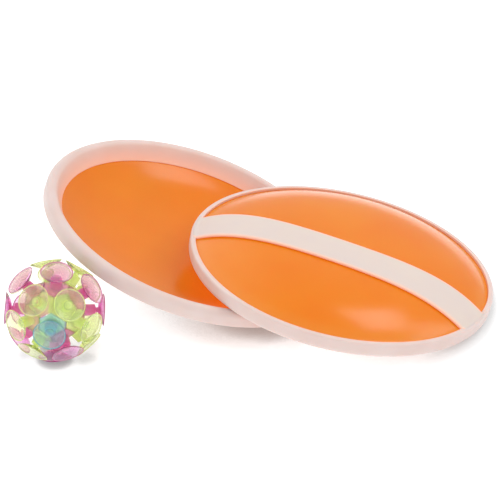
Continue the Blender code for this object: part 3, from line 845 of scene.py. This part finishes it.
class CATCHSET_OT_stage(Operator):
    """Sets the pale floor, the soft studio light and the camera"""
    bl_idname = "catchset.stage"
    bl_label = "Studio"

    def execute(self, context):
        scene = context.scene
        studio = scene.catch_studio
        scene.view_settings.view_transform = "Standard"
        self.camera(scene, studio)
        self.floor(scene.catch_colours, studio)
        for name, (place, size) in SOFTBOXES.items():
            self.softbox(name + "_softbox", place, size, getattr(studio, name))
        self.room(scene, studio)
        return {"FINISHED"}

    def camera(self, scene, studio):
        stale("set_camera")
        data = bpy.data.cameras.new("set_camera")
        data.lens = studio.lens
        data.sensor_width = 36.0
        data.clip_start = 0.05
        data.clip_end = 20.0
        made = bpy.data.objects.new("set_camera", data)
        back = Vector((0.0, -math.cos(studio.elevation), math.sin(studio.elevation)))
        made.location = Vector(CAMERA_AIM) + back * studio.distance
        made.rotation_euler = (math.pi / 2 - studio.elevation, 0.0, 0.0)
        scene.collection.objects.link(made)
        scene.camera = made

    def floor(self, colours, studio):
        count = FLOOR_SPOKES
        turns = [2 * math.pi * i / count for i in range(count)]
        points = [(0.0, 0.0, 0.0)] + [(radius * math.cos(turn), radius * math.sin(turn), 0.0)
                                      for radius in FLOOR_RINGS for turn in turns]
        faces = [(0, 1 + i, 1 + (i + 1) % count) for i in range(count)]
        faces += [face[::-1] for face in ring_faces(1, len(FLOOR_RINGS), count)]
        mesh = mesh_from("studio_floor", points, faces)
        made = linked("studio_floor", mesh)
        # The floor glows near white with its own light, and ambient occlusion dims that glow under and beside
        # pieces: painted contact shadow, so that only the tightest shadows show on it
        opal = moulded("opal_acrylic_sweep", colours.floor, [0.99 * c for c in colours.floor],
                       220.0, 0.8, 0.03, 1.5, 0.01, {
                           "Specular IOR Level": 0.1, "Emission Color": (1.0, 1.0, 1.0, 1.0)})
        lit = studio.sweep
        maths = arithmetic(opal.node_tree)
        # Each reach with the open shares between which the shade fades out, and how dark it gets
        for reach, shaded, clear, darkest in ((studio.contact, 0.5, 0.88, 0.5), (studio.hover, 0.22, 0.34, 0.45)):
            open_share = add(opal.node_tree, "ShaderNodeAmbientOcclusion", {"Distance": reach}, samples=8)
            shade = ranged(opal.node_tree, open_share.outputs["AO"], shaded, clear, darkest, 1.0)
            lit = maths("MULTIPLY", lit, shade)
        opal.node_tree.links.new(lit, opal.node_tree.nodes["Principled BSDF"].inputs["Emission Strength"])
        mesh.materials.append(opal)

    def softbox(self, name, place, size, power):
        stale(name)
        data = bpy.data.lights.new(name, "AREA")
        data.shape = "SQUARE"
        data.size = size
        data.energy = power
        made = bpy.data.objects.new(name, data)
        made.location = place
        made.rotation_euler = Vector(place).to_track_quat("Z", "Y").to_euler()
        bpy.context.scene.collection.objects.link(made)

    def room(self, scene, studio):
        world = bpy.data.worlds.new("pale_room")
        world.use_nodes = True
        tree = world.node_tree
        background = tree.nodes["Background"]
        background.inputs["Color"].default_value = (1.0, 1.0, 1.0, 1.0)
        way = add(tree, "ShaderNodeTexCoord").outputs["Generated"]
        height = add(tree, "ShaderNodeSeparateXYZ", {0: way}).outputs["Z"]
        room = ranged(tree, height, 0.0, 1.0, studio.horizon, studio.horizon + studio.overhead)
        facing = add(tree, "ShaderNodeVectorMath", {0: way, 1: Vector(CLOTH_WAY).normalized()},
                     operation="DOT_PRODUCT").outputs["Value"]
        spread = ranged(tree, facing, CLOTH_EDGE, 1.0, 0.0, studio.glow, interpolation_type="SMOOTHERSTEP")
        tree.links.new(arithmetic(tree)("ADD", room, spread), background.inputs["Strength"])
        scene.world = world


class CATCHSET_OT_dishes(Operator):
    """Makes the two round dishes, glossy orange sheet mouldings"""
    bl_idname = "catchset.dishes"
    bl_label = "Dishes"

    def execute(self, context):
        p = context.scene.catch_paddle
        finish = polystyrene_dish(context.scene.catch_colours)
        tree = section_tree()
        for side in PADDLES:
            name = side + "_dish_moulding"
            mesh = grown(name, section_base(name, dish_outline(p), p, dish_painted_bounce(p)), tree, {
                "Paddle Radius": p.radius, "Steps Around": p.around, "Closed Outline": False, "Finish": finish,
            })
            settle(mesh, paddle_matrix(side), 40)
            piece(name, mesh, "dish", side + "_dish")
        return {"FINISHED"}


class CATCHSET_OT_rims(Operator):
    """Makes the two soft rims, each notched for its hand strap"""
    bl_idname = "catchset.rims"
    bl_label = "Rims"

    def execute(self, context):
        p = context.scene.catch_paddle
        finish = vinyl_rim(context.scene.catch_colours)
        tree = section_tree()
        for side in PADDLES:
            name = side + "_rim_moulding"
            mesh = grown(name, section_base(name, rim_outline(p), p, rim_painted_bounce(p)), tree, {
                "Paddle Radius": p.radius, "Steps Around": p.around, "Closed Outline": True, "Finish": finish,
            })
            settle(mesh, Matrix.Identity(4), 40)
            blank = linked(name + "_blank", mesh)
            cutter = notch_cutter(side, p)
            cut = blank.modifiers.new("strap_notch", "BOOLEAN")
            cut.operation = "DIFFERENCE"
            cut.solver = "EXACT"
            cut.object = cutter
            notched = evaluated(blank)
            for spent in (blank, cutter):
                bpy.data.objects.remove(spent, do_unlink=True)
            settle(notched, paddle_matrix(side), 40)
            piece(name, notched, "rim", side + "_rim")
        return {"FINISHED"}


class CATCHSET_OT_hand_straps(Operator):
    """Makes the two hand straps across the paddles' backs"""
    bl_idname = "catchset.hand_straps"
    bl_label = "Hand straps"

    def execute(self, context):
        p = context.scene.catch_paddle
        finish = vinyl_strap(context.scene.catch_colours)
        for side in PADDLES:
            name = side + "_strap_band"
            rings = strap_grid(p, 0.5 * p.strap_width, p.radius - p.strap_end_wall, p.strap_thickness, 17, 72)
            mesh = with_painted_bounce(skin(name, rings), self.edges(p, rings))
            mesh.materials.append(finish)
            settle(mesh, paddle_matrix(side), 50)
            piece(name, mesh, "strap", side + "_hand_strap")
        return {"FINISHED"}

    def edges(self, p, rings):
        """Full painted bounce light along both edges of the band, fading out within two millimetres."""
        half = 0.5 * p.strap_width
        fade = 2.0 * MM
        return [min(max((abs(y + p.strap_offset) - half + fade) / fade, 0.0), 1.0)
                for ring in rings for _, y, _ in ring]


class CATCHSET_OT_suction_ball(Operator):
    """Makes the ball of suction cups, one moulding for each cup"""
    bl_idname = "catchset.suction_ball"
    bl_label = "Suction cup ball"

    def execute(self, context):
        b = context.scene.catch_ball
        c = context.scene.catch_colours
        finishes = {name: clear_vinyl(name, getattr(c, name + "_thin"), getattr(c, name), **plastic)
                    for name, plastic in CUP_PLASTICS.items()}
        tree = cup_tree()
        height = math.sqrt(b.radius ** 2 - b.cup_radius ** 2)
        sizes = {"Cup Lip": height, "Stem Radius": b.stem_radius, "Neck Radius": b.neck_radius,
                 "Cup Radius": b.cup_radius, "Lip Thickness": b.lip, "Web Thickness": b.web,
                 "Lip Wave": b.wave, "Steps Around": b.around}
        for name, drop in (("Neck Top", b.cup_depth), ("Neck Foot", b.neck_length), ("Stem Top", b.shoulder),
                           ("Stem Foot", b.stem_length), ("Tile Top", b.flare), ("Tile Foot", b.tile)):
            height -= drop
            sizes[name] = height
        view = self.ball_matrix()
        directions = {name: Vector(d).normalized() for name, d in CUPS.items()}
        for seed, (node, direction) in enumerate(directions.items()):
            others = [d for name, d in directions.items() if name != node]
            across = direction.cross(Vector(CUP_ASIDE)).normalized()
            axes = Matrix((across, direction.cross(across), direction)).transposed()
            outline = self.tile_outline(b, axes, direction, others, height)
            base = mesh_from(node, [(x, y, height) for x, y in outline], [tuple(range(len(outline)))])
            mesh = grown(node, base, tree, {**sizes, "Seed": seed, "Finish": finishes[node.split("_")[1]]})
            settle(mesh, view @ axes.to_4x4(), 45)
            piece(node + "_moulding", mesh, node[:-3], node)
        return {"FINISHED"}

    def ball_matrix(self):
        turn = Matrix.Rotation(math.radians(-BALL_VIEW_AZIMUTH), 3, "Z")
        e = math.radians(BALL_VIEW_ELEVATION)
        across = turn @ Vector((1.0, 0.0, 0.0))
        upward = turn @ Vector((0.0, math.sin(e), math.cos(e)))
        axes = Matrix((across, upward, across.cross(upward))).transposed().to_4x4()
        return Matrix.Translation(Vector(BALL_CENTRE) * MM) @ axes

    def tile_outline(self, b, axes, direction, others, distance):
        """The tile's inner outline, evenly stepped: the cell nearer to this cup than to any other."""
        corners = [Vector(corner) * b.radius for corner in ((-1, -1), (1, -1), (1, 1), (-1, 1))]
        for other in others:
            normal = (other - direction).normalized()
            flat = axes.transposed() @ normal
            limit = -0.5 * b.tile_gap - flat.z * distance
            side = Vector((flat.x, flat.y))
            kept = []
            for start, end in zip(corners, corners[1:] + corners[:1]):
                a = start.dot(side) - limit
                e = end.dot(side) - limit
                if a <= 0:
                    kept.append(start)
                if a * e < 0:
                    kept.append(start + (end - start) * (a / (a - e)))
            corners = kept
        corners = [p for p, q in zip(corners, corners[1:] + corners[:1]) if (q - p).length > 0.4 * MM]
        spans = [(q - p).length for p, q in zip(corners, corners[1:] + corners[:1])]
        steps = [1] * len(corners)
        while sum(steps) < b.around:
            longest = max(range(len(steps)), key=lambda i: spans[i] / steps[i])
            steps[longest] += 1
        outline = []
        for p, q, count in zip(corners, corners[1:] + corners[:1], steps):
            outline += [p + (q - p) * step / count for step in range(count)]
        return outline


class CATCHSET_PT_panel(Panel):
    """Lists the set's sizes, colours and pieces"""
    bl_idname = "CATCHSET_PT_panel"
    bl_label = "Suction Catch Ball Set"
    bl_space_type = "VIEW_3D"
    bl_region_type = "UI"
    bl_category = "Catch Set"

    def draw(self, context):
        layout = self.layout
        for made in OPERATORS:
            layout.operator(made.bl_idname)
        for title, group in (("Paddles", "catch_paddle"), ("Ball", "catch_ball"),
                             ("Colours", "catch_colours"), ("Studio", "catch_studio")):
            box = layout.box()
            box.label(text=title)
            settings = getattr(context.scene, group)
            for name in settings.__annotations__:
                box.prop(settings, name)


OPERATORS = (CATCHSET_OT_stage, CATCHSET_OT_dishes, CATCHSET_OT_rims,
             CATCHSET_OT_hand_straps, CATCHSET_OT_suction_ball)
GROUPS = {"catch_paddle": PaddleSizes, "catch_ball": BallSizes,
          "catch_colours": SetColours, "catch_studio": StudioSettings}


def register():
    for made in (*GROUPS.values(), *OPERATORS, CATCHSET_PT_panel):
        bpy.utils.register_class(made)
    for name, group in GROUPS.items():
        setattr(bpy.types.Scene, name, PointerProperty(type=group))


def unregister():
    for name in GROUPS:
        delattr(bpy.types.Scene, name)
    for made in (CATCHSET_PT_panel, *reversed(OPERATORS), *reversed(GROUPS.values())):
        bpy.utils.unregister_class(made)


def main():
    register()
    bpy.ops.catchset.stage()
    bpy.ops.catchset.dishes()
    bpy.ops.catchset.rims()
    bpy.ops.catchset.hand_straps()
    bpy.ops.catchset.suction_ball()


if __name__ == "__main__":
    main()
